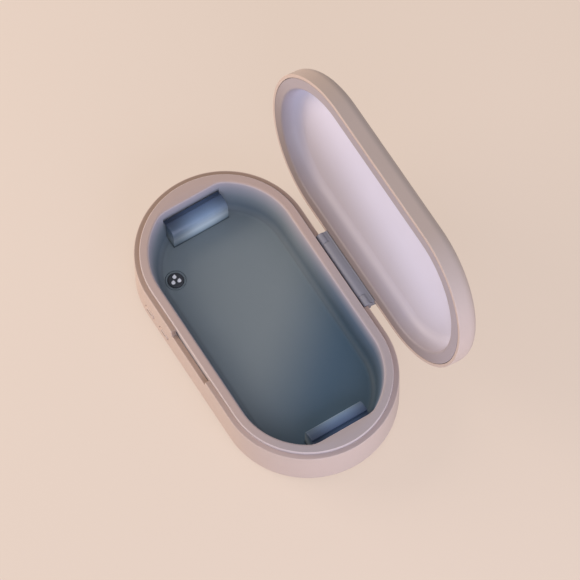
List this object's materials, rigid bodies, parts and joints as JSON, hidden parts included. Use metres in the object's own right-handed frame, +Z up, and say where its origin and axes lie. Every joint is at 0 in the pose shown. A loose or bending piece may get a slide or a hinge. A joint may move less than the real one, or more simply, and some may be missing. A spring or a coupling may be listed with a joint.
{
  "type": "uv phone sanitizer box",
  "caption": "Stadium-shaped ultraviolet sanitizer box for a phone: a deep tub with lamps at its ends, a scent port, front buttons and a lid hinged at the back.",
  "frame": {"origin": "under the middle of the base, on the surface that the rubber feet stand on, which is 1 mm under the bottom plate's face", "axes": "+X to the box's right seen from its front, +Y from the front wall with the finger notch and buttons to the hinge, +Z up"},
  "size_m": [0.212, 0.1536, 0.1409],
  "materials": {
    "shell": "fine satin",
    "lid": "fine satin",
    "tub": "soft gloss",
    "lamp": "translucent, lit from inside",
    "hinge": "satin",
    "steel": "bright",
    "dark": "satin",
    "board": "solder mask",
    "rubber": "matt",
    "pad": "felt",
    "window": "clear diffuser"
  },
  "bodies": {
    "base": {"base_shell": "shell", "bottom_plate": "shell", "deck_tub": "tub", "foot_front_left": "rubber", "foot_front_right": "rubber", "foot_back_left": "rubber", "foot_back_right": "rubber", "base_screw_front_left": "steel", "base_screw_front_right": "steel", "base_screw_back_left": "steel", "base_screw_back_right": "steel", "lamp_cover_left": "lamp", "lamp_cover_right": "lamp", "uv_board_left": "board", "uv_board_right": "board", "lamp_wire_left": "dark", "lamp_wire_right": "dark", "aroma_ring": "tub", "aroma_pad": "pad", "hinge_rod": "steel", "button_switch_left": "dark", "button_switch_right": "dark", "button_board": "board", "main_board": "board", "charging_socket": "steel", "base_magnet_left": "steel", "base_magnet_right": "steel", "lid_sensor": "dark"},
    "lid": {"lid_outer_shell": "lid", "lid_liner": "lid", "lid_magnet_left": "steel", "lid_magnet_right": "steel", "hinge_leaf": "hinge", "leaf_screw_left": "steel", "leaf_screw_right": "steel"},
    "left_button": {"button_left": "shell", "button_light_left": "window"},
    "right_button": {"button_right": "shell", "button_light_right": "window"},
    "scent_cap": {"aroma_cap": "dark"}
  },
  "joints": [
    {"name": "lid_hinge", "type": "hinge", "parent": "base", "child": "lid", "pos_m": [0, 0.057, 0.0304], "axis": [1, 0, 0], "range_deg": [0, 101]},
    {"name": "left_button_press", "type": "slide", "parent": "base", "child": "left_button", "axis": [0, 1, 0], "range_m": [0, 0.0005], "stiffness_N_per_m": 1500},
    {"name": "right_button_press", "type": "slide", "parent": "base", "child": "right_button", "axis": [0, 1, 0], "range_m": [0, 0.0005], "stiffness_N_per_m": 1500},
    {"name": "scent_cap_lift", "type": "slide", "parent": "base", "child": "scent_cap", "axis": [0, 0, 1], "range_m": [0, 0.012]}
  ]
}
